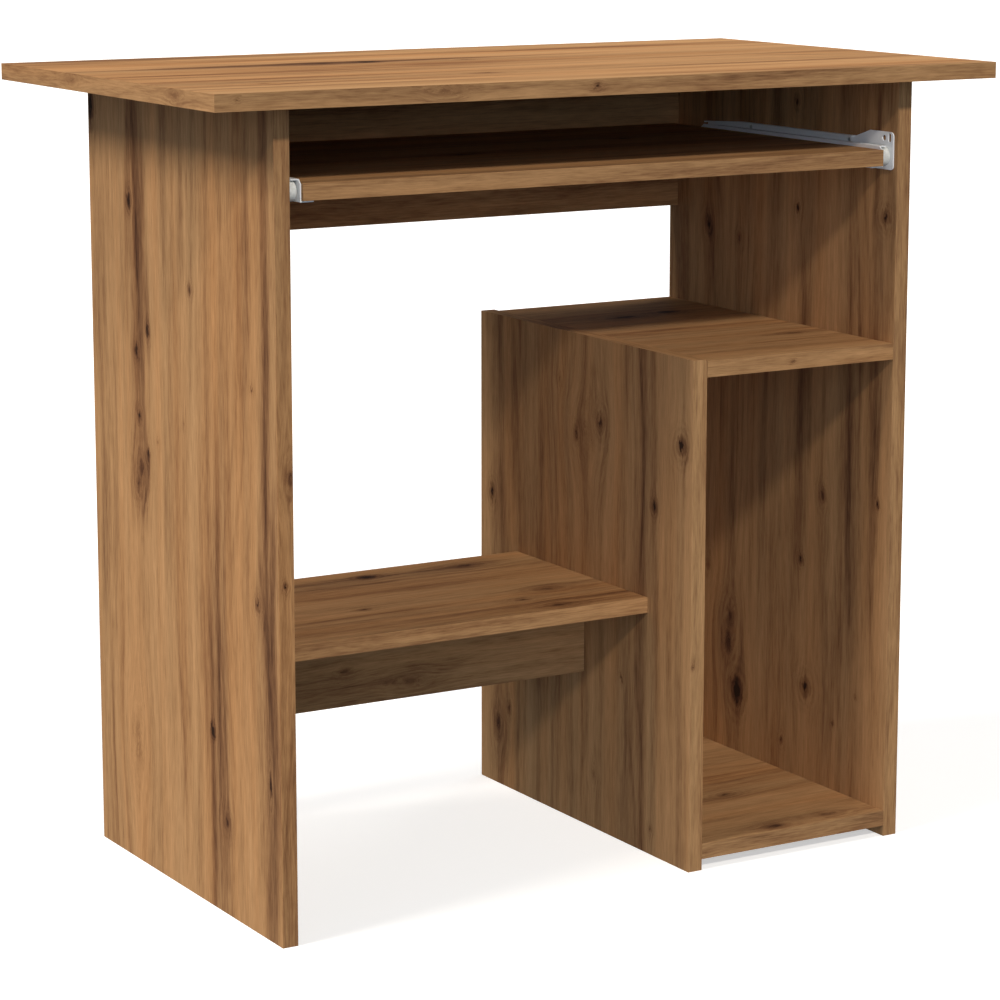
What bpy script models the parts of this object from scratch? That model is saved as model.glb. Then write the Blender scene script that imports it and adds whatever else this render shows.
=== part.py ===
"""Flat-pack computer desk with a sliding keyboard tray.

Frame: +Z up, the sitter is on the -Y side, +X is to the sitter's right.
The origin is on the floor, under the middle of the desktop.
"""
import math

import bmesh
import bpy
from mathutils import Matrix, Vector

MM = 0.001
GAP = 0.3 * MM              # left between faces that touch

# Overall size
TOP_WIDTH = 800 * MM
TOP_DEPTH = 450 * MM
HEIGHT = 740 * MM
BOARD = 15 * MM             # thickness of every board

# Carcass
PANEL_SPAN = 660 * MM       # over the outer faces of the two side panels
PANEL_DEPTH = 380 * MM
PARTITION_LEFT = 90 * MM    # X of the partition's left face
PARTITION_HEIGHT = 480 * MM
BAY_TOP_DROP = 1.5 * MM     # the bay's top shelf sits just under the partition's top
BAY_FLOOR_RISE = 10.5 * MM  # the bay's floor stands this far off the ground
LOW_SHELF_TOP = 247.5 * MM
LOW_SHELF_DEPTH = 237 * MM
LOW_RAIL_HEIGHT = 80 * MM
BACK_RAIL_HEIGHT = 150 * MM

# Keyboard tray
TRAY_WIDTH = 602 * MM
TRAY_DEPTH = 350 * MM
TRAY_TOP = 660 * MM
TRAY_INSET = 3 * MM         # behind the panels' front edges
TRAY_HOLE_DEPTH = 11 * MM

# Roller slides, one pair on each side
SHEET = 1.2 * MM            # steel thickness
RUNNER_FRONT = -185 * MM
RUNNER_BACK = 120 * MM
RUNNER_TOP = 668.5 * MM
RUNNER_TAIL_TOP = 665.0 * MM
RUNNER_RAMP_START = 59 * MM
EAR_TOP = 675.4 * MM
EAR_BOTTOM = 640.3 * MM
EAR_BACK = -149 * MM
EAR_SLOPE_END = -126 * MM
UPPER_FLANGE = 6 * MM
LOWER_FLANGE = 11 * MM
FLANGE_START = -158 * MM
EAR_HOLE = (-171 * MM, 669.5 * MM, 2.75 * MM)
EAR_SLOT = (-179.4 * MM, 670.0 * MM, 2.0 * MM, 8.5 * MM)
TRAY_RUNNER_FRONT = -184 * MM
TRAY_RUNNER_BACK = 116 * MM
LIP_BACK = 88 * MM
LIP_WIDTH = 6.8 * MM
FOOT_WIDTH = 13 * MM
ROLLER_RADIUS = 9 * MM
ROLLER_BORE = 2.8 * MM
ROLLER_RIM = 0.8 * MM       # chamfer
ROLLER_WIDTH = 8.7 * MM
ROLLER_HEIGHT = 652.6 * MM  # Z of all four axles
FRONT_ROLLER_Y = -173 * MM
REAR_ROLLER_Y = 102 * MM
PIN_RADIUS = 2.5 * MM
PIN_HEAD_RADIUS = 4 * MM
PIN_HEAD = 0.7 * MM
PIN_START = 0.2 * MM        # the pin's end, inside its wall's thickness
RUNNER_SCREW_YS = (-117 * MM, 45 * MM)
RUNNER_SCREW_Z = 663.4 * MM
RUNNER_SCREW_HOLE = 2.9 * MM
RUNNER_SCREW_HEAD = 2.5 * MM
RUNNER_SCREW_REACH = 11 * MM
TRAY_SCREW_YS = (-150 * MM, 60 * MM)
TRAY_SCREW_HEAD = 3.5 * MM
TRAY_SCREW_HEAD_HEIGHT = 1.9 * MM
THROUGH = 3 * MM            # depth of a cut that passes through the sheet

# Facets around each kind of round piece
BOLT_SIDES = 10
CAM_SIDES = 20
ROLLER_SIDES = 28
SMALL_SIDES = 12

# Connecting fittings
CAM_RADIUS = 7.2 * MM
CAM_BORE = 7.5 * MM
CAM_BORE_DEPTH = 12.5 * MM
CAM_SETBACK = 24 * MM       # cam axis to the end of its board
CAM_POCKET = 7.4 * MM       # square pocket for the bolt's head
CAM_POCKET_REACH = (-3.5 * MM, 9 * MM)
CAM_SLOT = (3.6 * MM, 0.7 * MM, 2 * MM)     # half length, half width and depth of each slot
BOLT_BORE = 3.4 * MM
BOLT_DEPTH = 10 * MM
DOWEL_RADIUS = 3.9 * MM
DOWEL_LENGTH = 29 * MM
DOWEL_BORE = 4.2 * MM
DOWEL_UP = 9.5 * MM         # the part of a dowel that stands in the desktop
DOWEL_Y = -130 * MM
TOP_CAM_Y = 130 * MM
BAY_CAM_Y = 95 * MM
SHELF_CAM_Y = 60 * MM
RAIL_CAM_X = 200 * MM
SCREW_RADIUS = 1.6 * MM
SCREW_BORE = 1.9 * MM

# Places that follow from the sizes above
TOP_UNDER = HEIGHT - BOARD
INNER_X = PANEL_SPAN / 2 - BOARD
HALF_DEPTH = PANEL_DEPTH / 2
PARTITION_RIGHT = PARTITION_LEFT + BOARD
BAY_TOP = PARTITION_HEIGHT - BAY_TOP_DROP
TRAY_UNDER = TRAY_TOP - BOARD
TRAY_FRONT = -HALF_DEPTH + TRAY_INSET
TRAY_RUNNER_X = TRAY_WIDTH / 2 + GAP + SHEET    # outer face of a tray runner's wall
LIP_TOP = ROLLER_HEIGHT + ROLLER_RADIUS + GAP + SHEET
LOWER_RUNWAY = ROLLER_HEIGHT - ROLLER_RADIUS - GAP
RUNNER_WALL_X = INNER_X - GAP - SHEET           # inner face of a cabinet runner's wall

PALETTE = {
    "oak": ((0.50, 0.29, 0.14), 0.55, 0.0),
    "powder_coat": ((0.86, 0.86, 0.84), 0.35, 0.0),
    "nylon": ((0.90, 0.89, 0.85), 0.45, 0.0),
    "zinc": ((0.62, 0.62, 0.60), 0.35, 1.0),
    "beech": ((0.72, 0.54, 0.34), 0.70, 0.0),
}


def clear_scene():
    for item in list(bpy.data.objects):
        bpy.data.objects.remove(item, do_unlink=True)


def make_material(name, color, roughness, metallic):
    material = bpy.data.materials.new(name)
    material.use_nodes = True
    shader = material.node_tree.nodes["Principled BSDF"]
    shader.inputs["Base Color"].default_value = (*color, 1.0)
    shader.inputs["Roughness"].default_value = roughness
    shader.inputs["Metallic"].default_value = metallic
    return material


def new_collection(name):
    collection = bpy.data.collections.new(name)
    bpy.context.scene.collection.children.link(collection)
    return collection


clear_scene()
DESK = new_collection("computer_desk")
CUTTERS = new_collection("cutters")
MATERIALS = {name: make_material(name, *values) for name, values in PALETTE.items()}


def add_object(name, mesh, finish, matrix=None, parent=None):
    """Puts a mesh in the desk as a named piece."""
    piece = bpy.data.objects.new(name, mesh)
    if not mesh.materials:
        mesh.materials.append(MATERIALS[finish])
    DESK.objects.link(piece)
    if matrix is not None:
        piece.matrix_world = matrix
    if parent is not None:
        piece.parent = parent
        piece.matrix_parent_inverse = parent.matrix_world.inverted()
    return piece


def add_axis(name, location):
    """An empty that stands on a joint's axis."""
    empty = bpy.data.objects.new(name, None)
    empty.empty_display_type = "SINGLE_ARROW"
    empty.empty_display_size = 0.02
    empty.matrix_world = Matrix.Translation(location)
    DESK.objects.link(empty)
    return empty


def add_box(bm, low, high):
    low = Vector(low)
    high = Vector(high)
    place = Matrix.Translation((low + high) / 2) @ Matrix.Diagonal((*(high - low), 1.0))
    return bmesh.ops.create_cube(bm, size=1.0, matrix=place)["verts"]


def turn_to(axis):
    """Rotation that takes +Z to the given axis."""
    return Vector((0, 0, 1)).rotation_difference(Vector(axis)).to_matrix().to_4x4()


def add_cylinder(bm, base, axis, radius, length, sides):
    """A closed cylinder that starts at base and runs along axis."""
    axis = Vector(axis).normalized()
    place = Matrix.Translation(Vector(base) + axis * length / 2) @ turn_to(axis)
    bmesh.ops.create_cone(bm, cap_ends=True, segments=sides, radius1=radius, radius2=radius,
                          depth=length, matrix=place)


def finish_mesh(bm, name):
    bmesh.ops.recalc_face_normals(bm, faces=bm.faces)
    mesh = bpy.data.meshes.new(name)
    bm.to_mesh(mesh)
    bm.free()
    return mesh


def shade_round(mesh):
    mesh.shade_smooth()
    mesh.set_sharp_from_angle(angle=math.radians(30))


def box_mesh(name, low, high):
    bm = bmesh.new()
    add_box(bm, low, high)
    return finish_mesh(bm, name)


def add_cutter(name, mesh):
    cutter = bpy.data.objects.new(name, mesh)
    cutter.hide_render = True
    cutter.display_type = "WIRE"
    CUTTERS.objects.link(cutter)
    return cutter


def cut(piece, cutter):
    modifier = piece.modifiers.new(cutter.name, "BOOLEAN")
    modifier.operation = "DIFFERENCE"
    modifier.solver = "EXACT"
    modifier.object = cutter


def drill(piece, label, holes):
    """Cuts blind holes, each given as (mouth, inward axis, radius, depth, sides)."""
    bm = bmesh.new()
    for mouth, axis, radius, depth, sides in holes:
        axis = Vector(axis).normalized()
        add_cylinder(bm, Vector(mouth) - axis * MM, axis, radius, depth + MM, sides)
    cut(piece, add_cutter(f"{piece.name}_{label}", finish_mesh(bm, label)))


def baked_mesh(piece):
    """The piece's mesh with its modifiers applied; the piece itself is removed."""
    depsgraph = bpy.context.evaluated_depsgraph_get()
    mesh = bpy.data.meshes.new_from_object(piece.evaluated_get(depsgraph))
    bpy.data.objects.remove(piece, do_unlink=True)
    return mesh


def mirrored_mesh(mesh):
    """The same mesh on the other side of the desk, with its faces still pointing out."""
    bm = bmesh.new()
    bm.from_mesh(mesh)
    bmesh.ops.transform(bm, matrix=Matrix.Diagonal((-1, 1, 1, 1)), verts=bm.verts)
    bmesh.ops.reverse_faces(bm, faces=bm.faces)
    copy = bpy.data.meshes.new(mesh.name)
    bm.to_mesh(copy)
    bm.free()
    copy.materials.append(mesh.materials[0])
    return copy


def turned_mesh(name, profile, sides):
    """Turns (radius, height) points about +Z; the profile runs from top to bottom."""
    bm = bmesh.new()
    verts = [bm.verts.new((radius, 0, height)) for radius, height in profile]
    edges = [bm.edges.new(pair) for pair in zip(verts, verts[1:])]
    bmesh.ops.spin(bm, geom=verts + edges, cent=(0, 0, 0), axis=(0, 0, 1), angle=2 * math.pi,
                   steps=sides, use_merge=True)
    bmesh.ops.remove_doubles(bm, verts=bm.verts, dist=0.01 * MM)
    mesh = finish_mesh(bm, name)
    shade_round(mesh)
    return mesh


# Boards

def make_board(name, low, high):
    return add_object(name, box_mesh(name, low, high), "oak")


def make_boards():
    """Every board as its true box, GAP short of the boards it butts against."""
    half_width = TOP_WIDTH / 2
    half_top = TOP_DEPTH / 2
    outer = PANEL_SPAN / 2
    left_end = -INNER_X + GAP
    shelf_under = LOW_SHELF_TOP - BOARD
    half_shelf = LOW_SHELF_DEPTH / 2
    bay_left = PARTITION_RIGHT + GAP
    bay_right = INNER_X - GAP
    bay_top_under = BAY_TOP - BOARD
    low_right = PARTITION_LEFT - GAP
    boards = {
        "desktop": ((-half_width, -half_top, TOP_UNDER), (half_width, half_top, HEIGHT)),
        "left_side_panel": ((-outer, -HALF_DEPTH, 0), (-INNER_X, HALF_DEPTH, TOP_UNDER - GAP)),
        "right_side_panel": ((INNER_X, -HALF_DEPTH, 0), (outer, HALF_DEPTH, TOP_UNDER - GAP)),
        "partition": ((PARTITION_LEFT, -HALF_DEPTH, 0),
                      (PARTITION_RIGHT, HALF_DEPTH, PARTITION_HEIGHT)),
        "bay_top_shelf": ((bay_left, -HALF_DEPTH, bay_top_under), (bay_right, HALF_DEPTH, BAY_TOP)),
        "bay_floor": ((bay_left, -HALF_DEPTH, BAY_FLOOR_RISE),
                      (bay_right, HALF_DEPTH, BAY_FLOOR_RISE + BOARD)),
        "low_shelf": ((left_end, -half_shelf, shelf_under), (low_right, half_shelf, LOW_SHELF_TOP)),
        "low_rail": ((left_end, -BOARD / 2, shelf_under - GAP - LOW_RAIL_HEIGHT),
                     (low_right, BOARD / 2, shelf_under - GAP)),
        "back_rail": ((left_end, HALF_DEPTH - BOARD, TOP_UNDER - BACK_RAIL_HEIGHT),
                      (-left_end, HALF_DEPTH, TOP_UNDER - GAP)),
    }
    return {name: make_board(name, low, high) for name, (low, high) in boards.items()}


# Cam fittings: a bolt that screws into one board is drawn up by a cam in the other

def cam_mesh():
    """Cam with its axis on +Z, its face at the origin and its bolt pocket open to +X."""
    bm = bmesh.new()
    add_cylinder(bm, (0, 0, -CAM_BORE_DEPTH + GAP), (0, 0, 1), CAM_RADIUS, CAM_BORE_DEPTH - 2 * GAP,
                 CAM_SIDES)
    cam = add_object("cam", finish_mesh(bm, "cam"), "zinc")
    half = CAM_POCKET / 2
    back, front = CAM_POCKET_REACH
    pocket = box_mesh("pocket", (back, -half, -BOARD / 2 - half), (front, half, -BOARD / 2 + half))
    cut(cam, add_cutter("cam_pocket", pocket))
    long, thin, depth = CAM_SLOT
    for label, reach_x, reach_y in (("slot_x", long, thin), ("slot_y", thin, long)):
        slot = box_mesh(label, (-reach_x, -reach_y, -depth), (reach_x, reach_y, MM))
        cut(cam, add_cutter(f"cam_{label}", slot))
    mesh = baked_mesh(cam)
    mesh.name = "cam"
    shade_round(mesh)
    return mesh


def cam_bolt_mesh():
    """Bolt along +Z: its thread is above the joint plane, its head below, at the cam."""
    thread, shank, neck, head = 3.0 * MM, 2.5 * MM, 1.8 * MM, 3.0 * MM
    neck_top = -18 * MM
    head_top = -21.5 * MM
    head_end = -25 * MM
    profile = [(0, BOLT_DEPTH), (thread - 0.8 * MM, BOLT_DEPTH), (thread, BOLT_DEPTH - 2 * MM),
               (thread, 0), (shank, 0), (shank, neck_top), (neck, neck_top), (neck, head_top),
               (head, head_top), (head, head_end), (0, head_end)]
    return turned_mesh("cam_bolt", profile, BOLT_SIDES)


def frame_matrix(origin, x_axis, z_axis):
    x_axis = Vector(x_axis)
    z_axis = Vector(z_axis)
    y_axis = z_axis.cross(x_axis)
    turn = Matrix((x_axis, y_axis, z_axis)).transposed().to_4x4()
    return Matrix.Translation(origin) @ turn


def cam_joint_places():
    """Each joint: name, cam board, bolt board, bolt's crossing point, bolt way, cam face way."""
    panel_mid = INNER_X + BOARD / 2
    rail_mid_y = HALF_DEPTH - BOARD / 2
    rail_mid_z = TOP_UNDER - BACK_RAIL_HEIGHT / 2
    shelf_mid = LOW_SHELF_TOP - BOARD / 2
    low_rail_mid = LOW_SHELF_TOP - BOARD - LOW_RAIL_HEIGHT / 2
    up, down, left, right, back = (0, 0, 1), (0, 0, -1), (-1, 0, 0), (1, 0, 0), (0, 1, 0)
    places = []
    for side, sign, away, inward in (("left", -1, left, right), ("right", 1, right, left)):
        panel = f"{side}_side_panel"
        low_board = {"left": "left_side_panel", "right": "partition"}[side]
        low_x = {"left": -INNER_X, "right": PARTITION_LEFT}[side]
        bay_board = {"left": "partition", "right": "right_side_panel"}[side]
        bay_x = {"left": PARTITION_RIGHT, "right": INNER_X}[side]
        places += [
            (f"desktop_{side}", panel, "desktop", (sign * panel_mid, TOP_CAM_Y, TOP_UNDER), up, inward),
            (f"back_rail_top_{side}", "back_rail", "desktop",
             (sign * RAIL_CAM_X, rail_mid_y, TOP_UNDER), up, back),
            (f"back_rail_{side}", "back_rail", panel,
             (sign * INNER_X, rail_mid_y, rail_mid_z), away, back),
            (f"low_shelf_{side}", "low_shelf", low_board, (low_x, SHELF_CAM_Y, shelf_mid), away, down),
            (f"low_rail_{side}", "low_rail", low_board, (low_x, 0, low_rail_mid), away, back),
        ]
        for label, board, middle in (("bay_top", "bay_top_shelf", BAY_TOP - BOARD / 2),
                                     ("bay_floor", "bay_floor", BAY_FLOOR_RISE + BOARD / 2)):
            places.append((f"{label}_{side}", board, bay_board, (bay_x, BAY_CAM_Y, middle), away, down))
    return places


def fit_cams(boards):
    """Places every cam and bolt, and collects the holes that its two boards need."""
    cam = cam_mesh()
    bolt = cam_bolt_mesh()
    cam_bores = {name: [] for name in boards}
    bolt_bores = {name: [] for name in boards}
    for label, cam_board, bolt_board, crossing, toward, facing in cam_joint_places():
        crossing = Vector(crossing)
        toward = Vector(toward)
        facing = Vector(facing)
        cam_mouth = crossing - toward * CAM_SETBACK + facing * BOARD / 2
        add_object(f"cam_{label}", cam, "zinc", frame_matrix(cam_mouth, toward, facing))
        add_object(f"cam_bolt_{label}", bolt, "zinc", frame_matrix(crossing, facing, toward))
        cam_bores[cam_board].append((cam_mouth, -facing, CAM_BORE, CAM_BORE_DEPTH, CAM_SIDES))
        to_cam = CAM_SETBACK - CAM_BORE / 2
        bolt_bores[cam_board].append((crossing, -toward, BOLT_BORE, to_cam, BOLT_SIDES))
        bolt_bores[bolt_board].append((crossing, toward, BOLT_BORE, BOLT_DEPTH + GAP, BOLT_SIDES))
    for label, bores in (("cam_bores", cam_bores), ("bolt_bores", bolt_bores)):
        for name, holes in bores.items():
            if holes:
                drill(boards[name], label, holes)


def fit_dowels(boards):
    """One wooden dowel locates the front of the desktop on each side panel."""
    chamfer = MM
    top = DOWEL_UP
    bottom = DOWEL_UP - DOWEL_LENGTH
    profile = [(0, top), (DOWEL_RADIUS - chamfer, top), (DOWEL_RADIUS, top - chamfer),
               (DOWEL_RADIUS, bottom + chamfer), (DOWEL_RADIUS - chamfer, bottom), (0, bottom)]
    mesh = turned_mesh("dowel", profile, SMALL_SIDES)
    desktop_holes = []
    for side, sign in (("left", -1), ("right", 1)):
        crossing = Vector((sign * (INNER_X + BOARD / 2), DOWEL_Y, TOP_UNDER))
        add_object(f"dowel_{side}", mesh, "beech", Matrix.Translation(crossing))
        desktop_holes.append((crossing, (0, 0, 1), DOWEL_BORE, DOWEL_UP + GAP, SMALL_SIDES))
        panel_hole = (crossing, (0, 0, -1), DOWEL_BORE, DOWEL_LENGTH - DOWEL_UP + GAP, SMALL_SIDES)
        drill(boards[f"{side}_side_panel"], "dowel_bore", [panel_hole])
    drill(boards["desktop"], "dowel_bores", desktop_holes)


# Roller slides, built for the right-hand side and mirrored to the left

def corner_arc(center, radius, start, stop, steps=5):
    """Points of a round corner in (Y, Z), from one angle to another in degrees."""
    angles = [math.radians(start + (stop - start) * step / steps) for step in range(steps + 1)]
    return [(center[0] + radius * math.cos(a), center[1] + radius * math.sin(a)) for a in angles]


def runner_outline():
    """Side view of the cabinet runner's wall, in (Y, Z), counter-clockwise seen from +X."""
    top_round = 4.5 * MM
    foot_round = 3.5 * MM
    back_round = 2 * MM
    low = LOWER_RUNWAY - SHEET
    outline = corner_arc((RUNNER_FRONT + foot_round, EAR_BOTTOM + foot_round), foot_round, 180, 270)
    outline += [(FLANGE_START - 2 * MM, EAR_BOTTOM), (FLANGE_START, low), (RUNNER_BACK - back_round, low)]
    outline += [(RUNNER_BACK, low + back_round), (RUNNER_BACK, RUNNER_TAIL_TOP)]
    outline += [(RUNNER_RAMP_START, RUNNER_TOP), (EAR_SLOPE_END, RUNNER_TOP), (EAR_BACK, EAR_TOP)]
    outline += corner_arc((RUNNER_FRONT + top_round, EAR_TOP - top_round), top_round, 90, 180)
    return outline


def fold(bm, start, stop, reach):
    """Folds a flange of the given reach out of the wall's edge between two outline points."""
    corners = [vert for vert in bm.verts
               if min((vert.co.yz - Vector(start)).length, (vert.co.yz - Vector(stop)).length) < 0.01 * MM]
    edge = bm.edges.get(corners[:2])
    new = bmesh.ops.extrude_edge_only(bm, edges=[edge])["geom"]
    moved = [item for item in new if isinstance(item, bmesh.types.BMVert)]
    bmesh.ops.translate(bm, verts=moved, vec=(-reach, 0, 0))


def cabinet_runner_mesh():
    """Channel screwed to the side panel: a wall, an upper and a lower flange and a tall ear."""
    outline = runner_outline()
    low = LOWER_RUNWAY - SHEET
    bm = bmesh.new()
    wall_x = INNER_X - GAP
    bm.faces.new([bm.verts.new((wall_x, y, z)) for y, z in outline])
    fold(bm, (FLANGE_START, low), (RUNNER_BACK - 2 * MM, low), LOWER_FLANGE)
    fold(bm, (RUNNER_RAMP_START, RUNNER_TOP), (EAR_SLOPE_END, RUNNER_TOP), UPPER_FLANGE)
    fold(bm, (RUNNER_BACK, RUNNER_TAIL_TOP), (RUNNER_RAMP_START, RUNNER_TOP), UPPER_FLANGE)
    bmesh.ops.remove_doubles(bm, verts=bm.verts, dist=0.01 * MM)
    runner = add_object("runner", finish_mesh(bm, "cabinet_runner"), "powder_coat")
    sheet = runner.modifiers.new("sheet", "SOLIDIFY")
    sheet.thickness = SHEET
    sheet.offset = -1.0
    sheet.use_even_offset = True
    return runner


def runner_holes():
    """Holes through the runner's wall: the ear's round hole, the screws and the roller's pin."""
    outward = (1, 0, 0)
    ear_y, ear_z, ear_radius = EAR_HOLE
    pin_mouth = (RUNNER_WALL_X, FRONT_ROLLER_Y, ROLLER_HEIGHT)
    holes = [((RUNNER_WALL_X, ear_y, ear_z), outward, ear_radius, THROUGH, SMALL_SIDES),
             (pin_mouth, outward, ROLLER_BORE, THROUGH, SMALL_SIDES)]
    for y in RUNNER_SCREW_YS:
        mouth = (RUNNER_WALL_X, y, RUNNER_SCREW_Z)
        holes.append((mouth, outward, RUNNER_SCREW_HOLE, THROUGH, SMALL_SIDES))
    return holes


def ear_slot_cutter():
    """Upright slot near the ear's front edge: a box with round ends."""
    y, z, half_width, length = EAR_SLOT
    reach = length / 2 - half_width
    outline = corner_arc((y, z + reach), half_width, 0, 180, 8)
    outline += corner_arc((y, z - reach), half_width, 180, 360, 8)
    bm = bmesh.new()
    face = bm.faces.new([bm.verts.new((RUNNER_WALL_X - MM, cy, cz)) for cy, cz in outline])
    wall = bmesh.ops.extrude_face_region(bm, geom=[face])["geom"]
    moved = [item for item in wall if isinstance(item, bmesh.types.BMVert)]
    bmesh.ops.translate(bm, verts=moved, vec=(4 * MM, 0, 0))
    return add_cutter("ear_slot", finish_mesh(bm, "ear_slot"))


def tray_runner_mesh():
    """Profile on the tray: a foot under the board, a wall and a lip that rides on the roller."""
    wall_x = TRAY_RUNNER_X
    foot_z = TRAY_UNDER - GAP - SHEET
    bm = bmesh.new()
    outline = [(TRAY_RUNNER_FRONT, foot_z), (TRAY_RUNNER_BACK, foot_z),
               (TRAY_RUNNER_BACK, LIP_TOP - 4 * MM), (TRAY_RUNNER_BACK - 6 * MM, LIP_TOP),
               (LIP_BACK, LIP_TOP), (TRAY_RUNNER_FRONT + 4 * MM, LIP_TOP),
               (TRAY_RUNNER_FRONT, LIP_TOP - 4 * MM)]
    bm.faces.new([bm.verts.new((wall_x - SHEET, y, z)) for y, z in outline])
    sheet_body = add_object("tray_runner_wall", finish_mesh(bm, "tray_runner"), "powder_coat")
    sheet = sheet_body.modifiers.new("sheet", "SOLIDIFY")
    sheet.thickness = SHEET
    sheet.offset = 1.0
    foot = box_mesh("foot", (wall_x - FOOT_WIDTH, TRAY_RUNNER_FRONT, foot_z),
                    (wall_x - SHEET / 2, TRAY_RUNNER_BACK, foot_z + SHEET))
    lip = box_mesh("lip", (wall_x - SHEET / 2, TRAY_RUNNER_FRONT + 4 * MM, LIP_TOP - SHEET),
                   (wall_x + LIP_WIDTH, LIP_BACK, LIP_TOP))
    for label, mesh in (("foot", foot), ("lip", lip)):
        joined = sheet_body.modifiers.new(label, "BOOLEAN")
        joined.operation = "UNION"
        joined.solver = "EXACT"
        joined.object = add_cutter(f"tray_runner_{label}", mesh)
    return sheet_body


def tray_runner_holes():
    foot_z = TRAY_UNDER - GAP - SHEET
    pin_mouth = (TRAY_RUNNER_X, REAR_ROLLER_Y, ROLLER_HEIGHT)
    holes = [(pin_mouth, (-1, 0, 0), ROLLER_BORE, THROUGH, SMALL_SIDES)]
    for y in TRAY_SCREW_YS:
        holes.append(((tray_screw_x(), y, foot_z), (0, 0, 1), SCREW_BORE, THROUGH, SMALL_SIDES))
    return holes


def tray_screw_x():
    return TRAY_RUNNER_X - FOOT_WIDTH / 2


def place_runners():
    """Both runners of each side; the left ones are mirror images."""
    right = cabinet_runner_mesh()
    drill(right, "holes", runner_holes())
    cut(right, ear_slot_cutter())
    cabinet = baked_mesh(right)
    moving = tray_runner_mesh()
    drill(moving, "holes", tray_runner_holes())
    tray = baked_mesh(moving)
    add_object("cabinet_runner_right", cabinet, "powder_coat")
    add_object("cabinet_runner_left", mirrored_mesh(cabinet), "powder_coat")
    slide_axis = bpy.data.objects["tray_slide_axis"]
    add_object("tray_runner_right", tray, "powder_coat", parent=slide_axis)
    add_object("tray_runner_left", mirrored_mesh(tray), "powder_coat", parent=slide_axis)


def roller_mesh():
    """Nylon ring along +Z with chamfered rims, centred on the origin."""
    half = ROLLER_WIDTH / 2
    shoulder = ROLLER_RADIUS - ROLLER_RIM
    profile = [(shoulder, half), (ROLLER_RADIUS, half - ROLLER_RIM),
               (ROLLER_RADIUS, -half + ROLLER_RIM), (shoulder, -half), (ROLLER_BORE, -half),
               (ROLLER_BORE, half), (shoulder, half)]
    return turned_mesh("roller", profile, ROLLER_SIDES)


def pin_mesh():
    """Rivet along +Z from the hole in its runner's wall, with its head beyond the roller."""
    head_under = SHEET + 2 * GAP + ROLLER_WIDTH + GAP
    head_end = head_under + PIN_HEAD
    profile = [(0, head_end), (PIN_HEAD_RADIUS, head_end), (PIN_HEAD_RADIUS, head_under),
               (PIN_RADIUS, head_under), (PIN_RADIUS, PIN_START), (0, PIN_START)]
    return turned_mesh("pin", profile, SMALL_SIDES)


def place_rollers():
    """The front rollers turn on the cabinet runners, the rear ones on the tray runners."""
    roller = roller_mesh()
    pin = pin_mesh()
    slide_axis = bpy.data.objects["tray_slide_axis"]
    to_middle = SHEET + 2 * GAP + ROLLER_WIDTH / 2
    for side, sign in (("left", -1), ("right", 1)):
        for end, y, wall_x, way in (("front", FRONT_ROLLER_Y, INNER_X - GAP, -1),
                                    ("rear", REAR_ROLLER_Y, TRAY_WIDTH / 2 + GAP, 1)):
            wall = Vector((sign * wall_x, y, ROLLER_HEIGHT))
            outward = Vector((sign * way, 0, 0))
            owner = slide_axis if end == "rear" else None
            axle = add_axis(f"{end}_roller_{side}_axis", wall + outward * to_middle)
            place = Matrix.Translation(axle.location) @ turn_to(outward)
            add_object(f"{end}_roller_{side}", roller, "nylon", place, axle)
            pin_place = Matrix.Translation(wall) @ turn_to(outward)
            add_object(f"{end}_roller_pin_{side}", pin, "zinc", pin_place, owner)
            if owner is not None:
                axle.parent = owner
                axle.matrix_parent_inverse = owner.matrix_world.inverted()


def place_runner_screws(boards):
    """Flush screws that hold each cabinet runner to its side panel."""
    head = RUNNER_SCREW_HEAD
    reach = RUNNER_SCREW_REACH
    head_start = GAP / 2
    tip = 0.4 * MM
    profile = [(0, -head_start), (head, -head_start), (head, -SHEET),
               (SCREW_RADIUS, -SHEET - 0.2 * MM), (SCREW_RADIUS, -reach),
               (tip, -reach - MM), (0, -reach - MM)]
    mesh = turned_mesh("runner_screw", profile, SMALL_SIDES)
    for side, sign in (("left", -1), ("right", 1)):
        holes = []
        for number, y in enumerate(RUNNER_SCREW_YS, start=1):
            wall = Vector((sign * RUNNER_WALL_X, y, RUNNER_SCREW_Z))
            place = Matrix.Translation(wall) @ turn_to((-sign, 0, 0))
            add_object(f"runner_screw_{side}_{number}", mesh, "zinc", place)
            mouth = (sign * INNER_X, y, RUNNER_SCREW_Z)
            holes.append((mouth, (sign, 0, 0), SCREW_BORE, RUNNER_SCREW_REACH + MM / 2, SMALL_SIDES))
        drill(boards[f"{side}_side_panel"], "screw_bores", holes)


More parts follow.
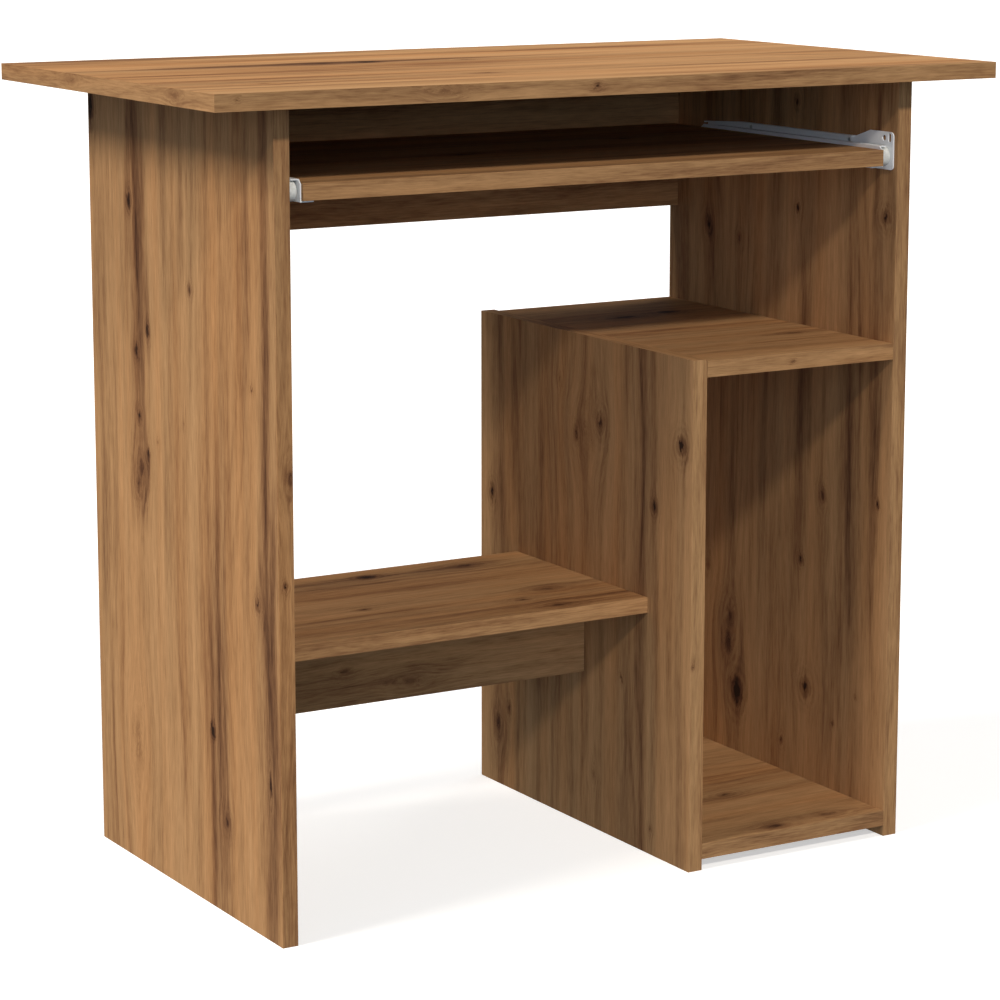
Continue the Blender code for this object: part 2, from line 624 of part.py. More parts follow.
def place_tray():
    """Tray board, with the screws that hold its runners from below."""
    half = TRAY_WIDTH / 2
    slide_axis = bpy.data.objects["tray_slide_axis"]
    mesh = box_mesh("keyboard_tray", (-half, TRAY_FRONT, TRAY_UNDER),
                    (half, TRAY_FRONT + TRAY_DEPTH, TRAY_TOP))
    tray = add_object("keyboard_tray", mesh, "oak", parent=slide_axis)
    head_top = -GAP
    head_end = head_top - TRAY_SCREW_HEAD_HEIGHT
    head = TRAY_SCREW_HEAD
    reach = SHEET + GAP + TRAY_HOLE_DEPTH - MM
    tip = 0.4 * MM
    profile = [(0, reach), (tip, reach), (SCREW_RADIUS, reach - 2 * MM), (SCREW_RADIUS, head_top),
               (head, head_top), (head, head_top - 0.8 * MM), (head - MM, head_end), (0, head_end)]
    screw = turned_mesh("tray_screw", profile, SMALL_SIDES)
    holes = []
    for side, sign in (("left", -1), ("right", 1)):
        for number, y in enumerate(TRAY_SCREW_YS, start=1):
            foot = Vector((sign * tray_screw_x(), y, TRAY_UNDER - GAP - SHEET))
            add_object(f"tray_screw_{side}_{number}", screw, "zinc", Matrix.Translation(foot), slide_axis)
            holes.append(((foot.x, y, TRAY_UNDER), (0, 0, 1), SCREW_BORE, TRAY_HOLE_DEPTH, SMALL_SIDES))
    drill(tray, "screw_bores", holes)


def build_desk():
    boards = make_boards()
    fit_cams(boards)
    fit_dowels(boards)
    add_axis("tray_slide_axis", (0, TRAY_FRONT, TRAY_UNDER))
    place_tray()
    place_runners()
    place_rollers()
    place_runner_screws(boards)


build_desk()
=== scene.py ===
"""A flat-pack computer desk with a sliding keyboard tray, in rustic oak decor.

Boards are laminated chipboard with banded edges; the tray runs on white roller slides.
"""

import math

import bmesh
import bpy
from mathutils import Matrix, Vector


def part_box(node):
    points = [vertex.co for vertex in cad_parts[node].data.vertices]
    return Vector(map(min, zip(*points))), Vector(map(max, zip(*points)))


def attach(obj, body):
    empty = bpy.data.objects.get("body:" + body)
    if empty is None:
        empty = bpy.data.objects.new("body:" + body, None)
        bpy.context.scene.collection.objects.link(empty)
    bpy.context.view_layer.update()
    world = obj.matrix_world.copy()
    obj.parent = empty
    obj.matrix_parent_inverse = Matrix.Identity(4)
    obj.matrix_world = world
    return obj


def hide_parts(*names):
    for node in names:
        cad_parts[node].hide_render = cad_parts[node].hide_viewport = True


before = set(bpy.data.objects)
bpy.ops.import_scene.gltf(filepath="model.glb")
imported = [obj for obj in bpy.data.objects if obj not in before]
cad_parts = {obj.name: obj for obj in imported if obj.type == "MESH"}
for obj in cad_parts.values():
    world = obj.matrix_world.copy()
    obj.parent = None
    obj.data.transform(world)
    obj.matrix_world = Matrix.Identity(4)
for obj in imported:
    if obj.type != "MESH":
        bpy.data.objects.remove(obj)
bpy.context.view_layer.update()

MM = 0.001
AXES = "XYZ"
SIDES = ("left", "right")
LEFT = Vector((-1, 0, 0))
RIGHT = Vector((1, 0, 0))
BACK = Vector((0, 1, 0))
DOWN = Vector((0, 0, -1))

# Softened edges: faces that turn less than FLAT are one face, and edges over SHARP are eased
BOARD_ARRIS = 0.5 * MM
STEEL_ARRIS = 0.3 * MM
FLAT = math.radians(0.5)
SHARP = math.radians(30)
WELD = 0.01 * MM

# Laminate: how much it shines, how deep the print is pressed, and the change of seed between its faces
LAMINATE_SHINE = 0.05
LAMINATE_DEPTH = 0.05 * MM
FACE_RESEED = 2.7

# Rollers: steps round a turn, ribs, bore, walls of the hub and the rim, depth and draft of the sunk web,
# and the chamfer and crown of the tread
ROLLER_STEPS = 60
ROLLER_RIBS = 6
ROLLER_BORE = 2.8 * MM
ROLLER_HUB = 1.3 * MM
ROLLER_RIM = 1.9 * MM
ROLLER_SUNK = 1.1 * MM
ROLLER_DRAFT = 0.3 * MM
ROLLER_CHAMFER = 0.7 * MM
ROLLER_CROWN = 0.15 * MM

# Dowels: steps round a turn, depth of the flutes and chamfer of the ends
DOWEL_STEPS = 40
DOWEL_FLUTE = 0.35 * MM
DOWEL_CHAMFER = 1.0 * MM

# Parts of a cam's radius: the size of its arrow notch, and how far out the notch is
CAM_NOTCH = 0.16
CAM_NOTCH_OUT = 0.74

# Parts of a head's height: how far below the top a shank starts
SCREW_SHANK_START = 0.6
RIVET_SHANK_START = 0.5

# Part of a rivet's shank radius: the radius of the punched dimple
RIVET_DIMPLE = 0.55

# Camera: place in metres, turn and dip in degrees, lens in millimetres
CAMERA_PLACE = (-1.5427, -2.6107, 0.9335)
CAMERA_TURN = -30.574
CAMERA_DIP = 10.23
CAMERA_LENS = 117.85
CAMERA_SHIFT = -0.06

# Lights: name, way to the light, strength, tint, width of the source in degrees
LIGHTS = (
    ("side_softbox", (-1.0, 0.0, 0.9), 2.45, (1.06, 1.00, 0.92), 22),
    ("front_softbox", (-0.3, -1.25, 1.0), 1.64, (1.05, 0.98, 0.88), 5),
    ("low_front_fill", (-0.45, -1.0, 0.06), 0.82, (0.76, 0.92, 1.12), 50),
    ("low_side_fill", (-1.0, -0.25, 0.12), 0.33, (0.90, 0.98, 1.20), 50),
    ("right_fill", (1.0, 0.45, 0.2), 1.60, (1.04, 1.00, 0.96), 40),
)
SKY = 0.13
SKY_TINT = (0.85, 1.00, 1.15, 1.0)
WHITE = (1.0, 1.0, 1.0, 1.0)

# Floor: its side in metres, and how much it glows so that it stays as pale as the sky
FLOOR_SIZE = 80.0
FLOOR_GLOW = 0.5


# Node trees

class Graph:
    """Adds nodes to one tree; any input takes a number, a vector or another node's socket."""

    def __init__(self, tree):
        self.tree = tree

    def node(self, kind, inputs=None, **settings):
        made = self.tree.nodes.new(kind)
        for name, value in settings.items():
            setattr(made, name, value)
        for key, value in (inputs or {}).items():
            if isinstance(value, bpy.types.NodeSocket):
                self.tree.links.new(value, made.inputs[key])
            else:
                made.inputs[key].default_value = value
        return made

    def math(self, operation, *values):
        return self.node("ShaderNodeMath", dict(enumerate(values)), operation=operation).outputs[0]

    def total(self, *values):
        result = values[0]
        for value in values[1:]:
            result = self.math("ADD", result, value)
        return result

    def scaled(self, value, factor, shift=0.0):
        return self.math("MULTIPLY_ADD", value, factor, shift)

    def noise(self, place, scales, detail=2.0, roughness=0.5):
        """Noise at (along, across, seed), with the first two stretched by the given scales."""
        along = self.scaled(place[0], scales[0])
        across = self.scaled(place[1], scales[1])
        vector = self.node("ShaderNodeCombineXYZ", {"X": along, "Y": across, "Z": place[2]}).outputs[0]
        inputs = {"Vector": vector, "Scale": 1.0, "Detail": detail, "Roughness": roughness}
        return self.node("ShaderNodeTexNoise", inputs).outputs[0]

    def cloud(self, place, scale, detail=2.0):
        """Even noise of the given scale."""
        inputs = {"Vector": place, "Scale": scale, "Detail": detail}
        return self.node("ShaderNodeTexNoise", inputs).outputs[0]

    def streaks(self, place, scales, detail=2.0):
        """Noise stretched by a scale for each axis."""
        stretched = self.node("ShaderNodeMapping", {"Vector": place, "Scale": scales}).outputs[0]
        return self.cloud(stretched, 1.0, detail)

    def step(self, value, start, end):
        """Rises smoothly from 0 at start to 1 at end."""
        inputs = {"Value": value, "From Min": start, "From Max": end}
        return self.node("ShaderNodeMapRange", inputs, interpolation_type="SMOOTHSTEP").outputs[0]

    def bell(self, value):
        """exp(-value squared)"""
        return self.math("EXPONENT", self.scaled(self.math("MULTIPLY", value, value), -1.0))

    def ramp(self, value, stops):
        made = self.node("ShaderNodeValToRGB", {"Fac": value})
        elements = made.color_ramp.elements
        while len(elements) < len(stops):
            elements.new(1.0)
        for element, (position, color) in zip(elements, stops):
            element.position = position
            element.color = (*color, 1.0)
        return made.outputs[0]


def make_group(name, inputs, outputs):
    """A shader group with float inputs: its tree, its graph and the sockets of its inputs."""
    tree = bpy.data.node_groups.new(name, "ShaderNodeTree")
    for label in inputs:
        tree.interface.new_socket(label, in_out="INPUT", socket_type="NodeSocketFloat")
    for label, kind in outputs.items():
        tree.interface.new_socket(label, in_out="OUTPUT", socket_type=kind)
    graph = Graph(tree)
    given = graph.node("NodeGroupInput").outputs
    return tree, graph, given


def make_material(name):
    """An empty material: its graph, its shader and its object coordinates."""
    material = bpy.data.materials.new(name)
    material.use_nodes = True
    graph = Graph(material.node_tree)
    shader = material.node_tree.nodes["Principled BSDF"]
    place = graph.node("ShaderNodeTexCoord").outputs["Object"]
    return material, graph, shader, place


def link_surface(graph, shader, color, roughness, height, depth):
    """Feeds a shader its colour, roughness and a bump of the given depth in metres."""
    bump = graph.node("ShaderNodeBump", {"Height": height, "Distance": depth, "Strength": 1.0})
    graph.tree.links.new(color, shader.inputs["Base Color"])
    graph.tree.links.new(roughness, shader.inputs["Roughness"])
    graph.tree.links.new(bump.outputs[0], shader.inputs["Normal"])


# Rustic oak decor

# The print's colours from the palest fibre to the heart of a knot
OAK_TONES = (
    (0.00, (0.650, 0.362, 0.176)),
    (0.14, (0.560, 0.300, 0.138)),
    (0.40, (0.416, 0.218, 0.097)),
    (0.62, (0.262, 0.124, 0.056)),
    (0.84, (0.116, 0.049, 0.025)),
    (1.00, (0.036, 0.018, 0.011)),
)

# The casts that drift over them
OAK_CASTS = (
    (0.32, (0.98, 1.03, 1.03)),
    (0.50, (1.00, 1.01, 0.98)),
    (0.68, (1.03, 0.97, 0.88)),
)


def oak_figure_group():
    """Colour of the decor at a point: fibres, strands, growth lines, broad bands and pores.

    Tone darkens it, Fine is the strength of fibres, strands and pores, and Broad that of bands and lines.
    """
    inputs = ("Along", "Across", "Seed", "Tone", "Fine", "Broad")
    outputs = {"Color": "NodeSocketColor", "Roughness": "NodeSocketFloat", "Height": "NodeSocketFloat"}
    tree, graph, given = make_group("Oak figure", inputs, outputs)
    place = (given["Along"], given["Across"], given["Seed"])
    fibres = graph.noise(place, (44, 620), detail=3.0, roughness=0.6)
    strands = graph.noise(place, (9, 130), detail=3.0, roughness=0.55)
    zones = graph.step(graph.noise(place, (0.8, 15), detail=2.0), 0.42, 0.72)
    bands = graph.step(graph.noise(place, (2.4, 44), detail=2.0), 0.46, 0.72)
    drift = graph.noise(place, (2.0, 7), detail=1.0)
    phase = graph.total(graph.scaled(place[1], 60.0), graph.scaled(drift, 8.0))
    wave = graph.math("SINE", graph.scaled(phase, math.tau))
    crests = graph.math("POWER", graph.scaled(wave, 0.5, 0.5), 5.0)
    patches = graph.step(graph.noise(place, (1.8, 15), detail=1.0), 0.45, 0.70)
    lines = graph.math("MULTIPLY", crests, patches)
    pores = graph.step(graph.noise(place, (95, 2300), detail=1.0), 0.60, 0.74)
    fine = graph.total(
        graph.scaled(fibres, 0.66, -0.33),
        graph.scaled(strands, 0.62, -0.31),
        graph.scaled(pores, 0.09),
    )
    broad = graph.total(
        graph.scaled(zones, 0.15),
        graph.scaled(bands, 0.17, -0.04),
        graph.scaled(lines, 0.10),
    )
    tone = graph.total(
        graph.math("MULTIPLY", fine, given["Fine"]),
        graph.math("MULTIPLY", broad, given["Broad"]),
        graph.scaled(given["Tone"], 1.0, 0.315),
    )
    cast = graph.ramp(graph.noise(place, (1.0, 26), detail=2.0), OAK_CASTS)
    layers = {"Factor": 1.0, 6: graph.ramp(tone, OAK_TONES), 7: cast}
    tinted = graph.node("ShaderNodeMix", layers, data_type="RGBA", blend_type="MULTIPLY")
    rough = graph.total(graph.scaled(fibres, 0.18, 0.50), graph.scaled(pores, 0.10))
    height = graph.total(graph.scaled(fibres, 0.5), graph.scaled(pores, -0.6))
    graph.node("NodeGroupOutput", {"Color": tinted.outputs[2], "Roughness": rough, "Height": height})
    return tree


def knot_group():
    """One knot: how dark it makes the wood round it, and how far it pushes the grain aside."""
    outputs = {"Tone": "NodeSocketFloat", "Shift": "NodeSocketFloat"}
    inputs = ("Along", "Across", "Knot along", "Knot across", "Radius", "Stretch", "Darkness")
    tree, graph, given = make_group("Oak knot", inputs, outputs)
    length = graph.math("MULTIPLY", given["Radius"], given["Stretch"])
    du = graph.math("DIVIDE", graph.math("SUBTRACT", given["Along"], given["Knot along"]), length)
    beside = graph.math("SUBTRACT", given["Across"], given["Knot across"])
    dv = graph.math("DIVIDE", beside, given["Radius"])
    squared = graph.total(graph.math("MULTIPLY", du, du), graph.math("MULTIPLY", dv, dv))
    distance = graph.math("SQRT", squared)
    core = graph.bell(graph.scaled(distance, 1.3))
    streak = graph.math("MULTIPLY", graph.bell(graph.scaled(du, 0.5)), graph.bell(graph.scaled(dv, 3.0)))
    halo = graph.bell(graph.scaled(distance, 0.42))
    rings = graph.scaled(graph.math("SINE", graph.scaled(distance, 7.5)), 0.35, 0.65)
    dark = graph.total(graph.scaled(core, 0.62), graph.scaled(streak, 0.14),
                       graph.scaled(graph.math("MULTIPLY", halo, rings), 0.27))
    reach = graph.bell(graph.scaled(distance, 0.5))
    push = graph.math("MULTIPLY", graph.math("MULTIPLY", dv, given["Radius"]), reach)
    darkened = graph.math("MULTIPLY", dark, given["Darkness"])
    graph.node("NodeGroupOutput", {"Tone": darkened, "Shift": graph.scaled(push, -0.9)})
    return tree


def band_group():
    """One darker band along the grain, with soft sides and ends."""
    inputs = ("Along", "Across", "Middle", "Half width", "Start", "End", "Darkness")
    tree, graph, given = make_group("Oak band", inputs, {"Tone": "NodeSocketFloat"})
    beside = graph.math("SUBTRACT", given["Across"], given["Middle"])
    off = graph.math("DIVIDE", beside, given["Half width"])
    begun = graph.step(graph.math("SUBTRACT", given["Along"], given["Start"]), -0.03, 0.03)
    ended = graph.step(graph.math("SUBTRACT", given["Along"], given["End"]), 0.03, -0.03)
    shape = graph.math("MULTIPLY", graph.bell(off), graph.math("MULTIPLY", begun, ended))
    darkened = graph.math("MULTIPLY", shape, given["Darkness"])
    graph.node("NodeGroupOutput", {"Tone": graph.scaled(darkened, 1.5)})
    return tree


OAK_FIGURE = oak_figure_group()
OAK_KNOT = knot_group()
OAK_BAND = band_group()


def knot(along, across, radius, stretch=1.8, darkness=0.75):
    """A knot, with its place and radius in millimetres."""
    return {"Knot along": along * MM, "Knot across": across * MM, "Radius": radius * MM,
            "Stretch": stretch, "Darkness": darkness}


def band(middle, half_width, darkness, start=-900, end=900):
    """A darker band along the grain, in millimetres."""
    return {"Middle": middle * MM, "Half width": half_width * MM, "Darkness": darkness,
            "Start": start * MM, "End": end * MM}


def oak_decor(graph, shader, along, across, seed, bands=(), knots=(), tone=0.0, fine=1.0, broad=1.0):
    """Lays the decor over a surface whose grain runs with the coordinate along.

    The grain wanders, the outlines of knots are ragged, and the grain is pushed aside round them.
    """
    place = (along, across, seed)
    wander = graph.scaled(graph.noise(place, (2.2, 6), detail=2.0), 0.016, -0.008)
    ragged = graph.scaled(graph.noise(place, (110, 300), detail=3.0, roughness=0.65), 0.008, -0.004)
    across = graph.math("ADD", across, wander)
    tones = []
    shifts = [across]
    for spec in knots:
        torn = {"Along": graph.scaled(ragged, 2.0, along), "Across": graph.math("ADD", across, ragged)}
        made = graph.node("ShaderNodeGroup", {**torn, **spec}, node_tree=OAK_KNOT)
        tones.append(made.outputs["Tone"])
        shifts.append(made.outputs["Shift"])
    across = graph.total(*shifts)
    for spec in bands:
        inputs = {"Along": along, "Across": across, **spec}
        made = graph.node("ShaderNodeGroup", inputs, node_tree=OAK_BAND)
        tones.append(made.outputs["Tone"])
    inputs = {"Along": along, "Across": across, "Seed": seed,
              "Tone": graph.total(tone, *tones), "Fine": fine, "Broad": broad}
    figure = graph.node("ShaderNodeGroup", inputs, node_tree=OAK_FIGURE).outputs
    link_surface(graph, shader, figure["Color"], figure["Roughness"], figure["Height"], LAMINATE_DEPTH)
    shader.inputs["Specular IOR Level"].default_value = LAMINATE_SHINE


def oak_face(name, grain, thickness, middle, shown, seed, **figure):
    """Decor for a board's two broad faces; the side that shows less is its mirror image, reseeded."""
    material, graph, shader, place = make_material(name)
    parts = graph.node("ShaderNodeSeparateXYZ", {"Vector": place}).outputs
    across_axis = next(axis for axis in AXES if axis not in (grain, thickness))
    off = graph.scaled(parts[thickness], shown, -middle * shown)
    side = graph.math("SIGN", off)
    across = graph.math("MULTIPLY", parts[across_axis], side)
    reseeded = graph.scaled(side, FACE_RESEED, seed)
    oak_decor(graph, shader, parts[grain], across, reseeded, **figure)
    return material


def oak_band(name, grain, seed, **figure):
    """Decor for edge banding, whose grain runs along the edge."""
    material, graph, shader, place = make_material(name)
    parts = graph.node("ShaderNodeSeparateXYZ", {"Vector": place}).outputs
    others = [parts[axis] for axis in AXES if axis != grain]
    oak_decor(graph, shader, parts[grain], graph.total(*others), seed, **figure)
    return material


def chipboard():
    """Raw board inside the bores: pressed flakes of several browns."""
    material, graph, shader, place = make_material("raw_chipboard")
    flakes = graph.node("ShaderNodeTexVoronoi", {"Vector": place, "Scale": 420.0, "Randomness": 1.0})
    grit = graph.cloud(place, 900.0, detail=3.0)
    mixed = graph.total(graph.scaled(flakes.outputs["Color"], 0.7), graph.scaled(grit, 0.5, -0.1))
    browns = ((0.0, (0.16, 0.09, 0.045)), (0.5, (0.34, 0.22, 0.12)), (1.0, (0.52, 0.38, 0.23)))
    color = graph.ramp(mixed, browns)
    link_surface(graph, shader, color, graph.scaled(grit, 0.2, 0.75), mixed, 0.3 * MM)
    return material


# Metal, plastic and bare wood

def powder_coat():
    """White powder coat: a fine orange-peel skin with faint scuffs."""
    material, graph, shader, place = make_material("white_powder_coat")
    peel = graph.cloud(place, 1100.0)
    scuffs = graph.streaks(place, (90.0, 14.0, 240.0), detail=4.0)
    worn = graph.step(scuffs, 0.60, 0.80)
    color = graph.ramp(worn, ((0.0, (0.93, 0.93, 0.92)), (1.0, (0.80, 0.79, 0.77))))
    link_surface(graph, shader, color, graph.scaled(worn, 0.2, 0.34), peel, 0.04 * MM)
    return material


def nylon():
    """White nylon with a moulded satin skin, a little greyed by the runway."""
    material, graph, shader, place = make_material("white_nylon")
    skin = graph.cloud(place, 1500.0, detail=3.0)
    greyed = graph.cloud(place, 260.0)
    color = graph.ramp(greyed, ((0.3, (0.66, 0.65, 0.60)), (0.7, (0.83, 0.82, 0.77))))
    link_surface(graph, shader, color, graph.scaled(skin, 0.2, 0.36), skin, 0.03 * MM)
    shader.inputs["Subsurface Weight"].default_value = 0.15
    shader.inputs["Subsurface Radius"].default_value = (0.002, 0.002, 0.0018)
    return material


def zinc():
    """Zinc plate: dull bright metal with a faint blue and yellow cast and fine turning marks."""
    material, graph, shader, place = make_material("zinc_plate")
    tarnish = graph.cloud(place, 320.0, detail=3.0)
    marks = graph.cloud(place, 2400.0)
    casts = ((0.3, (0.50, 0.52, 0.55)), (0.55, (0.64, 0.64, 0.61)), (0.8, (0.66, 0.61, 0.48)))
    color = graph.ramp(tarnish, casts)
    link_surface(graph, shader, color, graph.scaled(marks, 0.25, 0.24), marks, 0.03 * MM)
    shader.inputs["Metallic"].default_value = 1.0
    return material


def beech():
    """Bare beech with its short dark flecks, its grain along Z."""
    material, graph, shader, place = make_material("bare_beech")
    flecks = graph.streaks(place, (2200.0, 2200.0, 260.0))
    tones = ((0.35, (0.70, 0.50, 0.30)), (0.62, (0.60, 0.40, 0.22)), (0.72, (0.30, 0.17, 0.09)))
    color = graph.ramp(flecks, tones)
    link_surface(graph, shader, color, graph.scaled(flecks, 0.2, 0.60), flecks, 0.1 * MM)
    return material


def pale_floor():
    """Smooth white floor with barely visible clouding."""
    material, graph, shader, place = make_material("pale_floor")
    clouding = graph.cloud(place, 0.8, detail=3.0)
    color = graph.ramp(clouding, ((0.3, (0.86, 0.86, 0.86)), (0.7, (0.90, 0.90, 0.90))))
    link_surface(graph, shader, color, graph.scaled(clouding, 0.1, 0.80), clouding, 0.2 * MM)
    shader.inputs["Emission Color"].default_value = WHITE
    shader.inputs["Emission Strength"].default_value = FLOOR_GLOW
    shader.inputs["Specular IOR Level"].default_value = 0.1
    return material


# Boards: grain axis, thickness axis, the side that shows, seed, and the figure in the decor.
# Bands and knots are in millimetres along and across the grain. A tone below 0 makes the board paler,
# and fine and broad are the strength of its fine grain and of its broad bands.

BOARDS = {
    "desktop": {
        "grain": "X", "thickness": "Z", "shown": 1, "seed": 3.1,
        # The desktop's paler tone is painted light: it stands in for brighter light on its top.
        "tone": -0.085, "fine": 0.5, "broad": 1.6,
        "bands": [band(-195, 16, 0.10), band(-86, 18, 0.12), band(3, 14, 0.09, -100, 400),
                  band(76, 14, 0.12, -320, 20), band(150, 18, 0.09)],
        "knots": [knot(-104, 71, 6, 1.2, 0.8), knot(-150, 70, 9, 1.8, 0.26),
                  knot(-311, -136, 9, 1.2, 0.35), knot(-7, 56, 8, 1.2, 0.3),
                  knot(-82, -117, 10, 1.4, 0.3)],
    },
    "left_side_panel": {
        "grain": "Z", "thickness": "X", "shown": -1, "seed": 7.4,
        "fine": 0.85, "broad": 1.3,
        "bands": [band(88, 13, 0.15, 330, 760), band(-54, 9, 0.13), band(-76, 7, 0.10, -50, 260),
                  band(-168, 9, 0.10), band(-152, 8, 0.08, 60, 330)],
        "knots": [knot(621, 102, 3.5, 1.8, 0.8), knot(506, 68, 3.5, 1.6),
                  knot(485, 92, 3.5, 1.5, 0.55), knot(425, 88, 4, 1.4, 0.5),
                  knot(378, 86, 9, 1.7, 0.34), knot(360, 92, 5, 1.5, 0.3),
                  knot(392, 70, 4, 1.4, 0.4), knot(554, -23, 4, 1.0, 0.45),
                  knot(482, -143, 2.5, 1.0, 0.5), knot(407, 49, 3, 1.2, 0.3),
                  knot(430, -8, 2, 1.2, 0.3), knot(163, -57, 3.2, 1.3, 0.85),
                  knot(296, -152, 4.5, 1.2, 0.5), knot(85, -84, 6, 1.3, 0.35),
                  knot(142, -169, 2.4, 5.0, 0.6), knot(115, 104, 14, 2.4, 0.13),
                  knot(702, 187, 7, 1.8, 0.9)],
    },
    "right_side_panel": {
        "grain": "Z", "thickness": "X", "shown": -1, "seed": 11.9,
        "fine": 0.8, "broad": 1.4,
        "bands": [band(0, 11, 0.12), band(-46, 12, 0.09, 250, 760), band(-30, 14, 0.08, 100, 300),
                  band(-163, 8, 0.11, 200, 760), band(118, 9, 0.08), band(-118, 8, 0.05)],
        "knots": [knot(694, -29, 5, 1.6, 0.7), knot(591, -36, 3.5, 1.4),
                  knot(595, -176, 6, 1.2, 0.7), knot(89, 56, 9, 1.4, 0.9),
                  knot(136, 72, 12, 1.9, 0.42), knot(165, 70, 7, 1.6, 0.34),
                  knot(119, -61, 8, 1.2, 0.75), knot(55, -20, 3.5, 1.6, 0.5),
                  knot(245, -51, 4, 1.2, 0.6), knot(315, -84, 5, 1.5, 0.45),
                  knot(321, -171, 3, 1.2, 0.5), knot(209, 114, 8, 1.5, 0.28),
                  knot(560, 120, 6, 1.5, 0.35), knot(553, 66, 4, 1.5, 0.35),
                  knot(91, -106, 2.5, 1.0, 0.35), knot(126, -142, 2.5, 1.0, 0.35)],
    },
    "partition": {
        "grain": "Z", "thickness": "X", "shown": -1, "seed": 16.3,
        "fine": 0.8, "broad": 1.4,
        "bands": [band(160, 13, 0.12), band(-109, 7, 0.12), band(28, 9, 0.10, 240, 500),
                  band(14, 8, 0.09, -50, 120), band(-70, 12, 0.06)],
        "knots": [knot(399, -171, 7, 1.2, 0.95), knot(383, 8, 4, 1.8, 0.45),
                  knot(400, -33, 6, 1.6, 0.55), knot(388, -12, 15, 1.5, 0.14),
                  knot(300, 169, 5, 1.6, 0.7), knot(335, -128, 4, 1.4, 0.55),
                  knot(432, 38, 4, 1.5, 0.3), knot(160, -73, 3, 1.0, 0.45),
                  knot(64, 157, 9, 2.0, 0.45), knot(84, 136, 5, 1.5, 0.4),
                  knot(55, -24, 5, 1.8, 0.22), knot(24, -125, 3, 1.2, 0.3)],
    },
    "bay_top_shelf": {
        "grain": "X", "thickness": "Z", "shown": 1, "seed": 21.2,
        "fine": 0.8, "broad": 1.1,
        "bands": [band(88, 16, 0.10), band(-62, 10, 0.12), band(-84, 7, 0.09, 180, 330),
                  band(150, 12, 0.08)],
        "knots": [knot(252, 95, 7, 1.5, 0.9), knot(193, 84, 10, 2.0, 0.40),
                  knot(275, -84, 9, 2.0, 0.26)],
    },
    "bay_floor": {
        "grain": "X", "thickness": "Z", "shown": 1, "seed": 26.7,
        "fine": 0.8, "broad": 1.1,
        "bands": [band(-70, 12, 0.10), band(-172, 12, 0.12), band(60, 12, 0.07)],
        "knots": [knot(216, -66, 6, 1.6, 0.5), knot(197, -178, 8, 1.8, 0.40),
                  knot(262, -172, 9, 2.0, 0.34)],
    },
    "low_shelf": {
        "grain": "X", "thickness": "Z", "shown": 1, "seed": 31.8,
        "fine": 0.8, "broad": 1.1,
        "bands": [band(88, 9, 0.14, -230, 60), band(-70, 6, 0.09, -320, -100),
                  band(-52, 5, 0.08, -320, -100), band(-92, 6, 0.08), band(-40, 10, 0.12, 10, 110),
                  band(30, 11, 0.05)],
        "knots": [knot(-96, 91, 6, 1.5, 0.85), knot(12, 88, 9, 2.0, 0.26),
                  knot(-161, -30, 5, 1.4, 0.45), knot(-15, -69, 6, 1.3, 0.5),
                  knot(28, -40, 9, 1.6, 0.34), knot(2, -104, 8, 1.5, 0.42)],
    },
    "low_rail": {
        "grain": "X", "thickness": "Y", "shown": -1, "seed": 36.5,
        "bands": [band(172, 9, 0.10, -320, -60), band(214, 7, 0.08)],
        "knots": [knot(-171, 186, 4, 1.8, 0.3), knot(-103, 167, 6, 2.6, 0.2)],
    },
    "back_rail": {
        "grain": "X", "thickness": "Y", "shown": -1, "seed": 41.3,
        "bands": [band(600, 8, 0.14), band(690, 12, 0.12)],
        "knots": [knot(-210, 642, 5, 2.4, 0.6), knot(190, 606, 4, 2.6, 0.4)],
    },
    "keyboard_tray": {
        "grain": "X", "thickness": "Z", "shown": 1, "seed": 46.9,
        "fine": 0.8, "broad": 1.1,
        "bands": [band(-176, 6, 0.08), band(-110, 9, 0.08), band(-20, 12, 0.10),
                  band(70, 10, 0.08)],
        "knots": [knot(-60, -30, 7, 1.6, 0.4), knot(160, 40, 6, 1.5, 0.45)],
    },
}

# Banding along X, Y and Z: its knots lie along the edge and at the sum of the other two coordinates.
EDGE_KNOTS = {
    "X": [knot(-36, 508, 2.2, 1.6, 0.5), knot(-186, 510, 6, 2.2, 0.14),
          knot(-380, 508, 2.0, 1.2, 0.4), knot(200, 282, 1.8, 1.6, 0.35)],
    "Y": [knot(60, 335, 5, 2.2, 0.2), knot(-150, 333, 6, 1.6, 0.2)],
    "Z": [knot(319, -515, 2.4, 1.6, 0.6), knot(410, -508, 5, 3.0, 0.40),
          knot(196, -98, 2.0, 1.5, 0.4)],
}
EDGE_TONE = 0.085
EDGE_SEEDS = {"X": 50.0, "Y": 53.0, "Z": 56.0}


def drop_attribute(mesh, name):
    attribute = mesh.attributes.get(name)
    if attribute is not None:
        mesh.attributes.remove(attribute)


def softened(node, arris):
    """A closed copy of a CAD node's mesh with its flat faces made whole and its sharp edges eased."""
    shape = bmesh.new()
    shape.from_mesh(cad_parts[node].data)
    bmesh.ops.remove_doubles(shape, verts=shape.verts, dist=WELD)
    bmesh.ops.dissolve_limit(shape, angle_limit=FLAT, verts=shape.verts, edges=shape.edges)
    sharp = [edge for edge in shape.edges if edge.calc_face_angle(0.0) > SHARP]
    bmesh.ops.bevel(shape, geom=sharp, offset=arris, segments=2, profile=0.5, affect="EDGES",
                    clamp_overlap=True)
    return shape


def make_piece(name, shape, materials, body, slot, *stands_for):
    """Turns a shape into a piece on its body that stands for the given CAD nodes."""
    mesh = bpy.data.meshes.new(name)
    shape.to_mesh(mesh)
    shape.free()
    drop_attribute(mesh, "custom_normal")
    add_piece(name, mesh, materials, body, slot, *stands_for)


def add_piece(name, mesh, materials, body, slot, *stands_for):
    for material in materials:
        mesh.materials.append(material)
    piece = bpy.data.objects.new(name, mesh)
    bpy.context.scene.collection.objects.link(piece)
    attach(piece, body)
    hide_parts(*stands_for)


